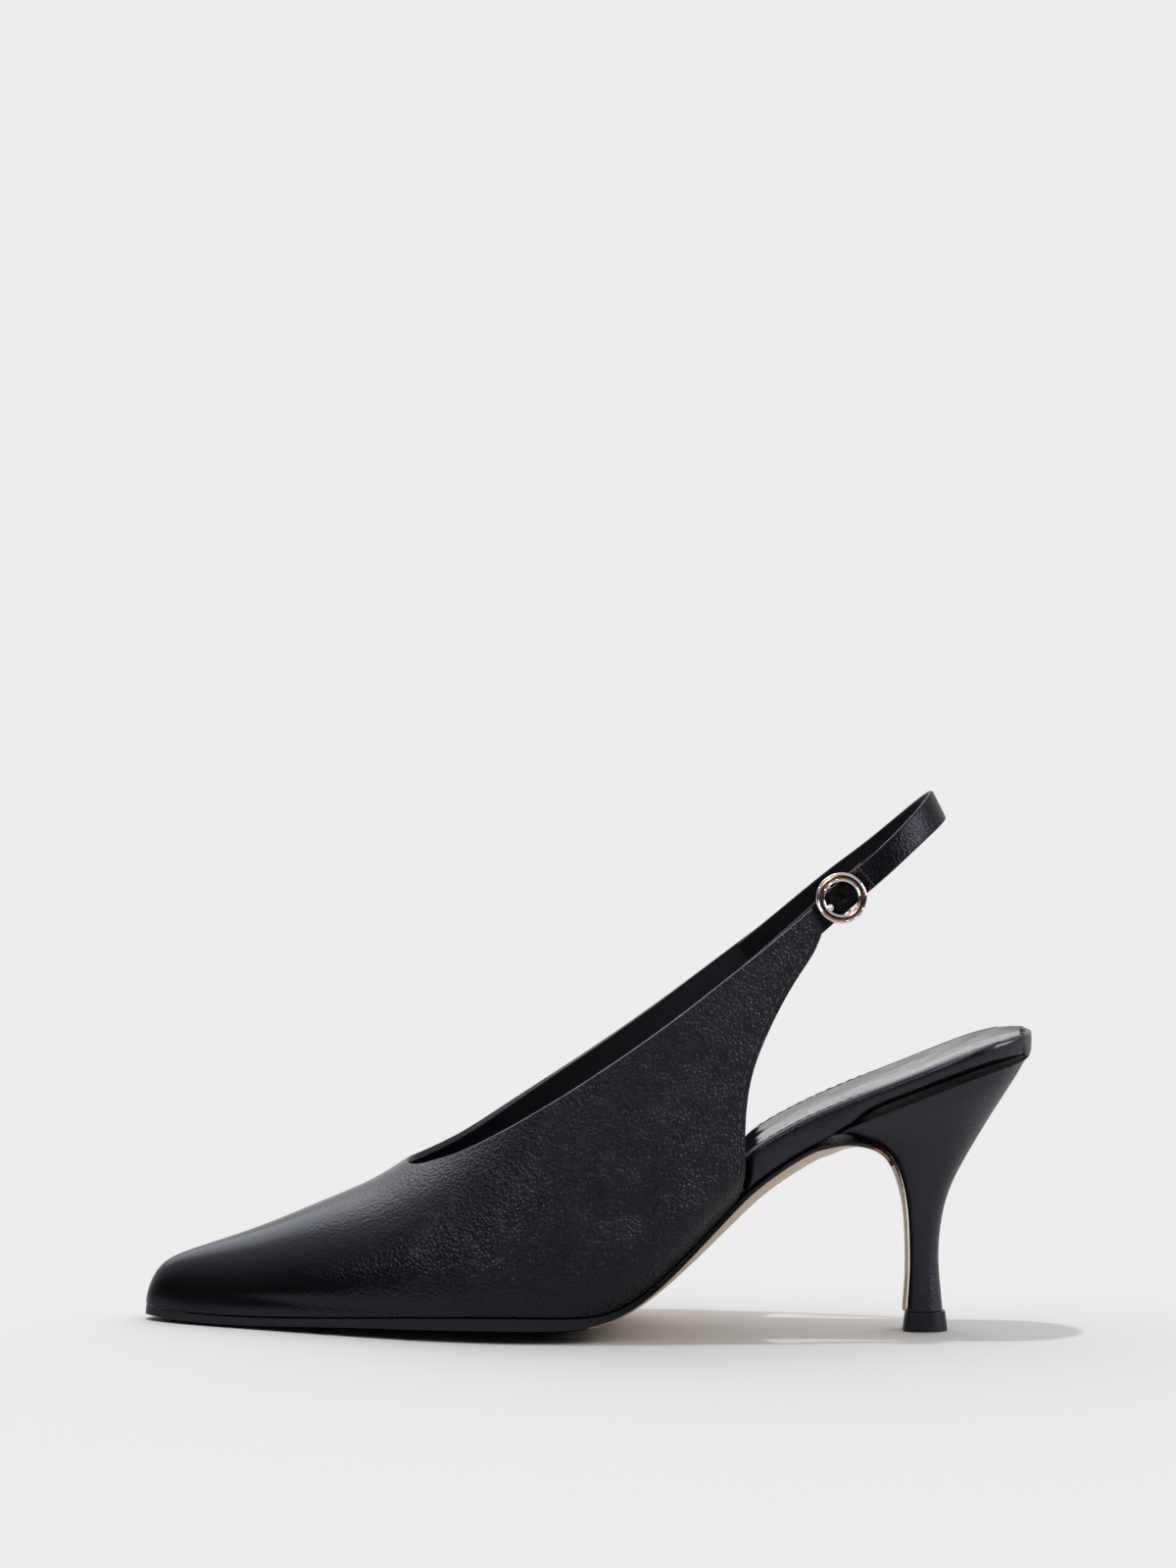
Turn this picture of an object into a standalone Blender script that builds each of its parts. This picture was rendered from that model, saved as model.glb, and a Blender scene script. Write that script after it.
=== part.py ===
"""A slingback pump for the left foot: pointed toe, open waist and seat, covered heel, strap with a round buckle.

The toe points along -X and the heel along +X. The little-toe side, with the buckle, is at -Y.
The floor is Z = 0 and every length is in metres.
"""

import math

import bmesh
import bpy
import numpy as np
from mathutils import Vector

# Driving sizes of the whole shoe
LENGTH = 0.244
BALL_WIDTH = 0.075
SEAT_WIDTH = 0.0415
HEEL_HEIGHT = 0.0775
VAMP_RISE = 0.0394
QUARTER_HEIGHT = 0.1201
EDGE_LIFT = 0.0071

# Upper
WALL = 0.0018
TUCK_HEIGHT = 0.012
QUARTER_SCOOP = 0.0052
THROAT_AT = 0.292
QUARTER_FOOT_AT = 0.668
QUARTER_CORNER_AT = 0.748
UPPER_SPLITS = 14
BED_STATIONS = 46
FOOTBED_STEP = 0.35
FOOTBED_SPLITS = (1.0, 0.7, 0.35, 0.0, -0.35, -0.7, -1.0)
BOARD_SPLITS = (1.0, 0.95, 0.9, 0.6, 0.3, 0.0, -0.3, -0.6, -0.9, -0.95, -1.0)
STATION_GAP = 0.0016
RIM_STEPS = (0.006, 0.011, 0.016)
SECTION_SAMPLES = 160

# Sole, insole and sock
SOLE_EDGE = 0.0035
SOLE_CUP = 0.0041
SOLE_CROWN = 0.0039
SOLE_MARGIN = 0.0004
SOLE_TIP_AT = 0.0006
INSOLE_TIP_AT = 0.016
INSOLE_BACK_AT = 0.9988
SOCK_TIP_AT = 0.04
SOCK_BACK_AT = 0.9855
FLAP_THICKNESS = 0.001
FLAP_SHARE = 0.9
INSOLE_RIM = 0.0095
RIM_ROUND = 0.0016
RIM_DISH = 0.001
DISH_SHARE = 0.85
BEVEL_SHARE = 0.29
SOCK_INSET = 0.0026
SOCK_THICKNESS = 0.0008
SOCK_TIP_HALF_WIDTH = 0.0012
INSOLE_TIP_HALF_WIDTH = 0.0004
RIM_ROUND_LIMIT = 0.42
INSET_FROM = 0.006
INSET_TO = 0.016
CUP_POWER = 2.2

# Heel and top lift
TOP_LIFT_HEIGHT = 0.0054
TIP_LENGTH = 0.0126
TIP_WIDTH = 0.0106
TIP_BACK_AT = 0.9074
TIP_TAPER = 0.0007

# Strap and buckle
STRAP_WIDTH = 0.0078
STRAP_THICKNESS = 0.0014
STRAP_EDGE = 0.0004
STRAP_OVERLAP = 0.014
STRAP_RUN = 0.0381
STRAP_RISE = 0.0335
STRAP_DROP = 0.52
STRAP_CLEAR = 0.003
BUCKLE_AT = 0.0156
BUCKLE_DIAMETER = 0.014
BUCKLE_WIRE = 0.0024
BUCKLE_WIRE_HEIGHT = 0.0017
BAR_DIAMETER = 0.001
POST_DIAMETER = 0.0012
HOOK_DIAMETER = 0.0011
HOOK_REACH = 0.0034
HOLE_DIAMETER = 0.0019
HOLE_PITCH = 0.0044
FOLD_LENGTH = 0.011
FOLD_EASE = 0.0055
FOLD_TURNS = 8
TAB_STEPS = (1.0, 0.66, 0.33)
HOOK_SEAT = 0.7
PIN_SINK = 0.3
TAB_BEYOND = 0.0092
TAB_END = (0.96, 0.84, 0.5)
DIP_FROM = -0.82
DIP_TO = -0.33

CLEARANCE = 0.0003
TINY = 1e-7

# The outline of the feather line, where upper meets sole, and the widest line of the sides.
# Widths are shares of the ball width in the forepart and of the seat width from the waist back.
OUTLINE_COLUMNS = ("from_toe", "lateral", "medial")
FEATHER = [
    (0.0, -0.040, 0.040),
    (0.0041, 0.0, 0.082),
    (0.0102, 0.020, 0.102),
    (0.0245, 0.055, 0.136),
    (0.049, 0.099, 0.177),
    (0.098, 0.173, 0.238),
    (0.163, 0.262, 0.312),
    (0.245, 0.373, 0.404),
    (0.318, 0.453, 0.460),
    (0.376, 0.489, 0.473),
    (0.424, 0.498, 0.460),
    (0.482, 0.475, 0.424),
    (0.539, 0.430, 0.379),
    (0.604, 0.415, 0.374),
    (0.669, 0.430, 0.404),
    (0.718, 0.458, 0.449),
    (0.776, 0.474, 0.470),
    (0.837, 0.490, 0.488),
    (0.890, 0.498, 0.497),
    (0.931, 0.472, 0.472),
    (0.963, 0.396, 0.396),
    (0.984, 0.284, 0.284),
    (0.996, 0.144, 0.144),
    (1.0, 0.0, 0.0),
]
SIDE_COLUMNS = ("from_toe", "lateral", "medial", "ridge")
# The ridge is the height of the closed section above the feather line, as a share of the vamp's rise.
# Behind the throat it is where the sides would meet if the opening didn't cut them.
SIDES = [
    (0.0, -0.040, 0.040, 0.0),
    (0.0041, 0.0, 0.083, 0.140),
    (0.0151, 0.036, 0.117, 0.272),
    (0.0363, 0.078, 0.158, 0.372),
    (0.0584, 0.114, 0.192, 0.430),
    (0.102, 0.182, 0.247, 0.521),
    (0.146, 0.246, 0.302, 0.616),
    (0.190, 0.312, 0.357, 0.718),
    (0.234, 0.372, 0.404, 0.815),
    (0.278, 0.430, 0.448, 0.938),
    (0.292, 0.446, 0.459, 1.0),
    (0.322, 0.474, 0.476, 1.125),
    (0.387, 0.512, 0.488, 1.56),
    (0.497, 0.500, 0.455, 3.0),
    (0.604, 0.455, 0.438, 4.4),
    (0.669, 0.413, 0.404, 5.2),
    (0.718, 0.379, 0.374, 5.6),
    (0.800, 0.330, 0.327, 6.0),
]

# The feather line's height: a share of the edge's lift in the forepart and of the heel height behind it.
PROFILE_COLUMNS = ("from_toe", "edge", "rise")
PROFILE = [
    (0.0, 0.58, 0.0),
    (0.039, 0.465, 0.0),
    (0.092, 0.45, 0.0),
    (0.163, 0.55, 0.0),
    (0.233, 0.72, 0.0),
    (0.294, 0.86, 0.0),
    (0.367, 0.97, 0.0),
    (0.424, 1.0, 0.0),
    (0.482, 0.97, 0.0),
    (0.506, 0.94, 0.004),
    (0.527, 0.82, 0.026),
    (0.547, 0.62, 0.071),
    (0.588, 0.30, 0.201),
    (0.633, 0.10, 0.364),
    (0.676, 0.0, 0.512),
    (0.720, 0.0, 0.622),
    (0.753, 0.0, 0.684),
    (0.780, 0.0, 0.7335),
    (0.812, 0.0, 0.784),
    (0.865, 0.0, 0.854),
    (0.929, 0.0, 0.932),
    (1.0, 0.0, 1.0),
]

# The topline of the two quarters, as shares of the quarter's height at its corner.
TOPLINE_COLUMNS = ("from_toe", "height")
TOPLINE = [
    (0.292, 0.3765),
    (0.305, 0.3812),
    (0.3189, 0.3908),
    (0.3469, 0.4138),
    (0.3837, 0.4560),
    (0.4366, 0.5238),
    (0.4934, 0.5995),
    (0.5481, 0.6775),
    (0.6018, 0.7580),
    (0.6555, 0.8441),
    (0.7107, 0.9333),
    (0.748, 1.0),
]

# The hollow rear edge of a quarter: how far it bows behind a straight line, as a share of the scoop.
REAR_EDGE_COLUMNS = ("height", "bow")
REAR_EDGE = [
    (0.0, 0.0),
    (0.10, 0.02),
    (0.192, -0.36),
    (0.27, -0.67),
    (0.367, -0.93),
    (0.463, -1.0),
    (0.556, -0.80),
    (0.684, -0.33),
    (0.80, 0.33),
    (0.847, 0.67),
    (0.89, 0.91),
    (0.939, 0.80),
    (0.975, 0.42),
    (1.0, 0.0),
]

# The sole's edge, its hollow on top and its bulge below, as shares of the three named sizes.
SOLE_COLUMNS = ("from_toe", "edge", "cup", "crown")
SOLE = [
    (0.0, 0.69, 0.0, 0.05),
    (0.05, 0.66, 0.08, 0.22),
    (0.10, 0.66, 0.20, 0.33),
    (0.163, 0.66, 0.38, 0.52),
    (0.233, 0.74, 0.58, 0.74),
    (0.30, 0.88, 0.80, 0.90),
    (0.38, 0.98, 1.0, 1.0),
    (0.44, 1.0, 1.0, 1.02),
    (0.49, 0.86, 0.92, 0.98),
    (0.54, 0.52, 0.68, 0.74),
    (0.60, 0.38, 0.36, 0.80),
    (0.68, 0.31, 0.14, 1.06),
    (0.76, 0.29, 0.0, 1.14),
]

# The flap of the sole that leaves the seat line, turns at its apex and runs down the heel's breast.
FLAP_COLUMNS = ("from_toe", "height", "crown")
FLAP = [
    (0.7530, 0.681, 1.14),
    (0.7690, 0.696, 1.06),
    (0.7865, 0.7075, 0.80),
    (0.8035, 0.7050, 0.50),
    (0.8190, 0.6900, 0.26),
    (0.8325, 0.6600, 0.10),
    (0.8445, 0.6080, 0.0),
    (0.8545, 0.5150, 0.0),
    (0.8600, 0.4080, 0.0),
    (0.8620, 0.2720, 0.0),
    (0.8618, 0.1770, 0.0),
    (0.8597, 0.0765, 0.0),
]

# The insole's thickness at its rim, as a share of the rim's height.
RIM_COLUMNS = ("from_toe", "thickness")
RIM = [
    (0.0, 0.20),
    (0.10, 0.22),
    (0.40, 0.24),
    (0.50, 0.28),
    (0.54, 0.40),
    (0.588, 0.74),
    (0.633, 1.04),
    (0.676, 1.17),
    (0.720, 1.04),
    (0.753, 0.97),
    (0.780, 0.88),
    (0.812, 0.81),
    (0.865, 0.79),
    (0.929, 0.83),
    (0.960, 0.82),
    (1.0, 0.68),
]

# The heel's sections from its foot to its seat. Its front follows the sole's flap, told by the flap's
# row. Back places and heights are shares of the length and the heel height, half widths of the seat
# width, and the last two columns say how square front and back are.
HEEL_COLUMNS = ("flap_row", "back_at", "back_height", "half_width", "front", "back")
HEEL = [
    (11.0, 0.9015, 0.0735, 0.126, 4.0, 2.2),
    (10.0, 0.8977, 0.184, 0.119, 4.0, 2.2),
    (9.0, 0.8957, 0.292, 0.120, 4.0, 2.2),
    (8.0, 0.9000, 0.425, 0.139, 4.2, 2.2),
    (7.0, 0.9112, 0.540, 0.172, 4.5, 2.2),
    (6.1, 0.9300, 0.653, 0.233, 5.0, 2.3),
    (5.1, 0.9508, 0.767, 0.313, 6.0, 2.4),
    (3.9, 0.9705, 0.868, 0.390, 8.0, 2.5),
    (2.6, 0.9860, 0.945, 0.455, 10.0, 2.5),
    (1.4, 0.9965, 0.990, 0.490, 14.0, 2.5),
]
HEEL_RING = 30
PIN_SIDES = 12

# The strap's middle line from a quarter's corner to its back: run, half width and rise as shares of
# the strap's run, of its half width at the corner and of its rise. Lift leans its face upwards, and
# the last column is its width as a share of the named one.
STRAP_COLUMNS = ("run", "half_width", "rise", "lift", "width")
STRAP_PATH = [
    (0.0, 1.0, 0.0, 0.0, 1.0),
    (0.17, 0.955, 0.17, 0.2, 1.0),
    (0.333, 0.895, 0.335, 0.32, 0.96),
    (0.555, 0.81, 0.545, 0.38, 0.92),
    (0.776, 0.63, 0.77, 0.42, 0.94),
    (0.912, 0.41, 0.91, 0.47, 1.03),
    (0.98, 0.19, 0.98, 0.5, 1.11),
    (1.0, 0.0, 1.0, 0.5, 1.13),
]
STRAP_STEP = 0.0028


def spline(keys, values):
    """A natural cubic spline through the points, returned as a function."""
    keys = np.array(keys, dtype=float)
    values = np.array(values, dtype=float)
    step = np.diff(keys)
    slope = np.diff(values) / step
    size = len(keys)
    system = np.eye(size)
    target = np.zeros(size)
    for i in range(1, size - 1):
        system[i, i - 1 : i + 2] = (step[i - 1], 2 * (step[i - 1] + step[i]), step[i])
        target[i] = 6 * (slope[i] - slope[i - 1])
    bend = np.linalg.solve(system, target)

    def at(key):
        key = min(max(key, keys[0]), keys[-1])
        i = min(int(np.searchsorted(keys, key, side="right")) - 1, size - 2)
        left = key - keys[i]
        right = keys[i + 1] - key
        curve = (bend[i] * right**3 + bend[i + 1] * left**3) / (6 * step[i])
        start = (values[i] / step[i] - bend[i] * step[i] / 6) * right
        end = (values[i + 1] / step[i] - bend[i + 1] * step[i] / 6) * left
        return float(curve + start + end)

    return at


def end_on(from_toe):
    """Spreads a share of the length so that a round toe or heel end becomes a straight slope."""
    return math.acos(1 - 2 * min(max(from_toe, 0.0), 1.0))


def table(columns, rows, warp=lambda key: key):
    """One smooth curve for each named column after the first."""
    keys = [warp(row[0]) for row in rows]
    curves = {}
    for place, name in enumerate(columns[1:], start=1):
        curve = spline(keys, [row[place] for row in rows])
        curves[name] = lambda key, curve=curve: curve(warp(key))
    return curves


FEATHER_CURVES = table(OUTLINE_COLUMNS, FEATHER, end_on)
SIDE_CURVES = table(SIDE_COLUMNS, SIDES, end_on)
PROFILE_CURVES = table(PROFILE_COLUMNS, PROFILE)
TOPLINE_CURVES = table(TOPLINE_COLUMNS, TOPLINE)
REAR_EDGE_CURVES = table(REAR_EDGE_COLUMNS, REAR_EDGE)
SOLE_CURVES = table(SOLE_COLUMNS, SOLE)
FLAP_CURVES = table(("row",) + FLAP_COLUMNS, [(i,) + row for i, row in enumerate(FLAP)])
RIM_CURVES = table(RIM_COLUMNS, RIM)
HEEL_CURVES = table(("row",) + HEEL_COLUMNS, [(i,) + row for i, row in enumerate(HEEL)])

SIDES_OF_FOOT = {"lateral": -1, "medial": 1}


def x_of(from_toe):
    return LENGTH * (from_toe - 0.5)


def share_of(x):
    return x / LENGTH + 0.5


def smoothstep(low, high, value):
    t = min(max((value - low) / (high - low), 0.0), 1.0)
    return t * t * (3 - 2 * t)


def local_width(from_toe):
    """The named width that the outline follows: the ball's in front, the seat's behind the waist."""
    blend = smoothstep(0.5, 0.75, from_toe)
    return BALL_WIDTH * (1 - blend) + SEAT_WIDTH * blend


def feather_width(from_toe, side):
    return FEATHER_CURVES[side](from_toe) * local_width(from_toe)


def feather_height(from_toe):
    profile = PROFILE_CURVES
    return EDGE_LIFT * profile["edge"](from_toe) + HEEL_HEIGHT * profile["rise"](from_toe)


def centre_line(from_toe):
    """The middle of the outline, as a place along Y."""
    return (feather_width(from_toe, "medial") - feather_width(from_toe, "lateral")) / 2


def half_width(from_toe):
    return (feather_width(from_toe, "medial") + feather_width(from_toe, "lateral")) / 2


def bed_height(from_toe, across):
    """The top of the sole and, behind the waist, the seat: across runs from -1 to 1 between the edges."""
    cup = SOLE_CUP * SOLE_CURVES["cup"](from_toe) if from_toe < SOLE[-1][0] else 0.0
    return feather_height(from_toe) - max(cup, 0.0) * (1 - abs(across) ** CUP_POWER)


def side_width(from_toe, height, side):
    """Half width of the last's section at one height above the floor."""
    curves = SIDE_CURVES
    widest = curves[side](from_toe) * BALL_WIDTH
    ridge = max(curves["ridge"](from_toe) * VAMP_RISE, TINY)
    above = min(max(height - feather_height(from_toe), 0.0), ridge)
    share = above / ridge
    arch = math.sqrt(max(1 - share**section_power(from_toe), 0.0))
    width = widest * arch
    tuck_height = min(TUCK_HEIGHT, 0.45 * ridge)
    if above < tuck_height:
        tuck = widest - feather_width(from_toe, side)
        width -= tuck * (1 - above / tuck_height) ** 2
    return width


def section_power(from_toe):
    """Sections are round at the toe and fuller over the ball."""
    return 1.9 + 0.3 * smoothstep(0.1, 0.4, from_toe)


def resample(points, count):
    """Evenly spaced points along a fine polyline, its ends included."""
    points = np.array(points)
    steps = np.linalg.norm(np.diff(points, axis=0), axis=1)
    along = np.concatenate([[0.0], np.cumsum(steps)])
    if along[-1] < TINY:
        return [tuple(points[0])] * (count + 1)
    wanted = np.linspace(0.0, along[-1], count + 1)
    return [tuple(np.interp(w, along, points[:, axis]) for axis in range(3)) for w in wanted]


def closed_section(from_toe, side):
    """A section in front of the throat, from the feather line to the ridge."""
    base = feather_height(from_toe)
    ridge = max(SIDE_CURVES["ridge"](from_toe), 0.0) * VAMP_RISE
    ridge_y = ridge_line(from_toe)
    points = []
    for i in range(SECTION_SAMPLES + 1):
        angle = math.pi / 2 * i / SECTION_SAMPLES
        height = base + ridge * math.sin(angle) ** (2 / section_power(from_toe))
        points.append(side_point(from_toe, height, side))
    points[-1] = (x_of(from_toe), ridge_y, base + ridge)
    return resample(points, UPPER_SPLITS)


def ridge_line(from_toe):
    """The vamp's ridge, as a place along Y: it follows the middle of the toe and runs out to the throat."""
    return centre_line(from_toe) * (1 - smoothstep(0.0, THROAT_AT, from_toe))


def side_point(from_toe, height, side):
    """A point on the outside of the last: its section leans to the ridge as it rises."""
    sign = SIDES_OF_FOOT[side]
    base = feather_height(from_toe)
    ridge = max(SIDE_CURVES["ridge"](from_toe) * VAMP_RISE, TINY)
    share = min(max((height - base) / ridge, 0.0), 1.0)
    width = side_width(from_toe, height, side)
    arch = math.sqrt(max(1 - share**section_power(from_toe), 0.0))
    lean = ridge_line(from_toe) * (1 - arch)
    return (x_of(from_toe), sign * width + lean, height)


def open_section(share, side):
    """A section behind the throat: share 0 is the throat and 1 the quarter's rear edge."""
    foot = THROAT_AT + share * (QUARTER_FOOT_AT - THROAT_AT)
    top = THROAT_AT + share * (QUARTER_CORNER_AT - THROAT_AT)
    low = feather_height(foot)
    high = QUARTER_HEIGHT * TOPLINE_CURVES["height"](top)
    shape = smoothstep(0.35, 1.0, share)
    points = []
    for i in range(SECTION_SAMPLES + 1):
        climb = math.sin(math.pi / 2 * i / SECTION_SAMPLES)
        bow = QUARTER_SCOOP / LENGTH * REAR_EDGE_CURVES["bow"](climb) * shape
        place = foot + (top - foot) * climb + bow
        height = low + (high - low) * climb
        if i == 0:
            height = feather_height(place)
        points.append(side_point(place, height, side))
    return resample(points, UPPER_SPLITS)


def material(name, colour, roughness, metallic=0.0):
    made = bpy.data.materials.new(name)
    made.use_nodes = True
    shader = made.node_tree.nodes["Principled BSDF"]
    shader.inputs["Base Color"].default_value = (*colour, 1.0)
    shader.inputs["Roughness"].default_value = roughness
    shader.inputs["Metallic"].default_value = metallic
    return made


def mesh_object(name, shape, finish, collection):
    """Makes an object from a bmesh, closed or open, with its faces turned outwards."""
    bmesh.ops.recalc_face_normals(shape, faces=shape.faces)
    mesh = bpy.data.meshes.new(name)
    shape.to_mesh(mesh)
    shape.free()
    mesh.shade_smooth()
    mesh.materials.append(finish)
    made = bpy.data.objects.new(name, mesh)
    collection.objects.link(made)
    return made


def add_strip(shape, first, second, closed):
    """Joins two rows of vertices with quads, or with triangles where a row shares a vertex."""
    count = len(first)
    for i in range(count if closed else count - 1):
        j = (i + 1) % count
        corners = []
        for vertex in (first[i], first[j], second[j], second[i]):
            if vertex not in corners:
                corners.append(vertex)
        if len(corners) > 2:
            shape.faces.new(corners)


def loft(rings):
    """A closed solid through rings of equal count, capped at both ends."""
    shape = bmesh.new()
    rows = [[shape.verts.new(point) for point in ring] for ring in rings]
    for first, second in zip(rows, rows[1:]):
        add_strip(shape, first, second, closed=True)
    for row in (rows[0], rows[-1]):
        cap = shape.faces.new(row)
        bmesh.ops.triangulate(shape, faces=[cap])
    return shape


def toe_shares():
    """Stations from the toe's tip to the throat, close together where the toe is round."""
    count = 17
    return [THROAT_AT * (i / count) ** 2.1 for i in range(count + 1)]


def quarter_shares():
    """Stations from the throat to the quarter's rear edge, close together round the throat."""
    count = 17
    return [(i / count) ** 1.7 for i in range(1, count + 1)]


def build_upper(finish, collection):
    """The vamp and both quarters as one skin, thickened inwards to the wall."""
    shape = bmesh.new()
    sides = {}
    for side in SIDES_OF_FOOT:
        rows = [closed_section(share, side) for share in toe_shares()]
        rows += [open_section(share, side) for share in quarter_shares()]
        sides[side] = rows
    closed_rows = len(toe_shares())
    made = {side: [] for side in sides}
    lift = Vector((0.0, 0.0, CLEARANCE))
    for number in range(len(sides["lateral"])):
        shared = None
        for side, rows in sides.items():
            row = [shape.verts.new(Vector(point) + lift) for point in rows[number]]
            if number < closed_rows:
                if shared is None:
                    shared = row[-1]
                else:
                    shape.verts.remove(row[-1])
                    row[-1] = shared
            made[side].append(row)
    for rows in made.values():
        for first, second in zip(rows, rows[1:]):
            add_strip(shape, first, second, closed=False)
    bmesh.ops.remove_doubles(shape, verts=shape.verts, dist=0.00001)
    upper = mesh_object("upper", shape, finish, collection)
    wall = upper.modifiers.new("wall", "SOLIDIFY")
    wall.thickness = WALL
    wall.offset = -1
    wall.use_even_offset = True
    return upper


def stations(start, end):
    """Shared stations along the shoe between two ends, so that sole, insole and sock lie parallel."""
    marks = [(1 - math.cos(math.pi * i / BED_STATIONS)) / 2 for i in range(1, BED_STATIONS)]
    marks += [QUARTER_FOOT_AT + step for step in RIM_STEPS]
    marks += [SOCK_TIP_AT - 2 * STATION_GAP, SOCK_TIP_AT, SOCK_BACK_AT, SOCK_BACK_AT + 2 * STATION_GAP]
    inner = [mark for mark in sorted(marks) if start + STATION_GAP < mark < end - STATION_GAP]
    return [start] + inner + [end]


def across_shares(count):
    """Places from the lateral edge to the medial one, closer together at the edges."""
    return [-math.cos(math.pi * i / count) for i in range(count + 1)]


def sole_ring(x, z, normal, thickness, crown, cup, width, middle):
    """One closed section of the sole: the top from edge to edge and the bulging bottom back again."""
    ring = []
    shares = across_shares(8)
    for share in shares:
        y = middle + width * share
        drop = cup * (1 - abs(share) ** CUP_POWER)
        ring.append((x - normal[0] * drop, y, z - normal[1] * drop))
    for share in reversed(shares):
        y = middle + width * share
        depth = thickness + crown * (1 - abs(share) ** CUP_POWER)
        ring.append((x - normal[0] * depth, y, max(z - normal[1] * depth, 0.0)))
    return ring


def build_outsole(finish, collection):
    """The sole from the toe to the seat line, then the flap down the heel's breast."""
    rows = []
    for share in stations(SOLE_TIP_AT, FLAP[0][0]):
        curves = SOLE_CURVES
        rows.append(
            {
                "x": x_of(share),
                "z": feather_height(share),
                "thickness": SOLE_EDGE * curves["edge"](share),
                "crown": SOLE_CROWN * curves["crown"](share),
                "cup": max(SOLE_CUP * curves["cup"](share), 0.0),
                "width": half_width(share) + SOLE_MARGIN,
                "middle": centre_line(share),
            }
        )
    steps = 18
    for i in range(1, steps + 1):
        row = (len(FLAP) - 1) * i / steps
        curves = FLAP_CURVES
        height = HEEL_HEIGHT * curves["height"](row)
        share = curves["from_toe"](row)
        rows.append(
            {
                "x": x_of(share),
                "z": height,
                "thickness": FLAP_THICKNESS,
                "crown": SOLE_CROWN * max(curves["crown"](row), 0.0),
                "cup": 0.0,
                "width": flap_width(share, row),
                "middle": centre_line(share) * (1 - row / (len(FLAP) - 1)),
            }
        )
    rings = []
    for i, station in enumerate(rows):
        before = rows[max(i - 1, 0)]
        after = rows[min(i + 1, len(rows) - 1)]
        along = Vector((after["x"] - before["x"], after["z"] - before["z"])).normalized()
        normal = (-along[1], along[0])
        keys = ("thickness", "crown", "cup", "width", "middle")
        rings.append(sole_ring(station["x"], station["z"], normal, *[station[key] for key in keys]))
    return mesh_object("outsole", loft(rings), finish, collection)


def flap_width(share, row):
    """The sole keeps its outline to the apex and then narrows with the heel's breast."""
    narrow = heel_width_at(row) * FLAP_SHARE
    blend = smoothstep(1.5, 6.0, row)
    return (half_width(share) + SOLE_MARGIN) * (1 - blend) + narrow * blend


def heel_width_at(flap_row):
    """Half width of the heel where its breast lies on this row of the flap."""
    rows = [section[0] for section in reversed(HEEL)]
    widths = [SEAT_WIDTH * section[3] for section in reversed(HEEL)]
    return float(np.interp(flap_row, rows, widths))


def flap_line(row, clear=0.0):
    """A place near the flap's inner face, which the heel lies against, clear of it by a distance."""

    def at(number):
        number = min(max(number, 0.0), len(FLAP) - 1.0)
        curves = FLAP_CURVES
        return Vector((x_of(curves["from_toe"](number)), HEEL_HEIGHT * curves["height"](number)))

    step = 0.05
    along = (at(row + step) - at(row - step)).normalized()
    point = at(row)
    return point.x - along.y * clear, point.y + along.x * clear


def oval(front, back, half, front_power, back_power, count):
    """A ring round the Y axis: square in front, round behind, as (x, y) pairs."""
    middle = (back + front) / 2
    ring = []
    for i in range(count):
        angle = 2 * math.pi * i / count
        power = back_power if math.cos(angle) > 0 else front_power
        reach = back - middle if math.cos(angle) > 0 else middle - front
        along = math.copysign(abs(math.cos(angle)) ** (2 / power), math.cos(angle))
        across = math.copysign(abs(math.sin(angle)) ** (2 / power), math.sin(angle))
        ring.append((middle + reach * along, half * across))
    return ring


def build_heel(finish, collection):
    """The covered heel block, from its seat to just above the top lift."""
    rings = []
    rows = len(HEEL) - 1
    steps = 17
    for i in range(steps + 1):
        row = rows * i / steps
        values = {name: HEEL_CURVES[name](row) for name in HEEL_COLUMNS}
        front, front_height = flap_line(values["flap_row"], CLEARANCE)
        back_height = HEEL_HEIGHT * values["back_height"]
        if i == 0:
            front_height = back_height = TOP_LIFT_HEIGHT + CLEARANCE
        back = x_of(values["back_at"])
        half = SEAT_WIDTH * values["half_width"]
        seat = smoothstep(rows - 1.2, rows, row)
        ring = []
        for x, y in oval(front, back, half, values["front"], values["back"], HEEL_RING):
            share = (x - front) / (back - front)
            low = front_height + (back_height - front_height) * share
            z = low * (1 - seat) + feather_height(share_of(x)) * seat
            limit = max(feather_width(share_of(x), "lateral") - SOLE_MARGIN, 0.0)
            y = math.copysign(min(abs(y), limit), y)
            ring.append((x, y, z))
        rings.append(ring)
    return mesh_object("heel", loft(rings), finish, collection)


def build_top_lift(finish, collection):
    """The heel's tip, flat on the floor."""
    back = x_of(TIP_BACK_AT)
    rings = []
    for height, taper in ((0.0, 0.0), (TOP_LIFT_HEIGHT, TIP_TAPER)):
        front = back - TIP_LENGTH
        outline = oval(front + taper, back - taper, TIP_WIDTH / 2 - taper / 2, 4.0, 2.2, HEEL_RING)
        rings.append([(x, y, height) for x, y in outline])
    return mesh_object("top_lift", loft(rings), finish, collection)


def insole_inset(from_toe):
    """The insole lies inside the upper's wall, and fills the whole outline behind the quarters."""
    inside = WALL + 2 * CLEARANCE
    return inside * (1 - smoothstep(QUARTER_FOOT_AT + INSET_FROM, QUARTER_FOOT_AT + INSET_TO, from_toe))


def rim_height(from_toe):
    return feather_height(from_toe) + CLEARANCE + INSOLE_RIM * RIM_CURVES["thickness"](from_toe)


def dish_depth(from_toe):
    """How far the middle of the footbed lies below its rim."""
    cup = SOLE_CUP * max(SOLE_CURVES["cup"](from_toe), 0.0)
    return cup * DISH_SHARE + RIM_DISH * smoothstep(0.6, 0.7, from_toe)


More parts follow.
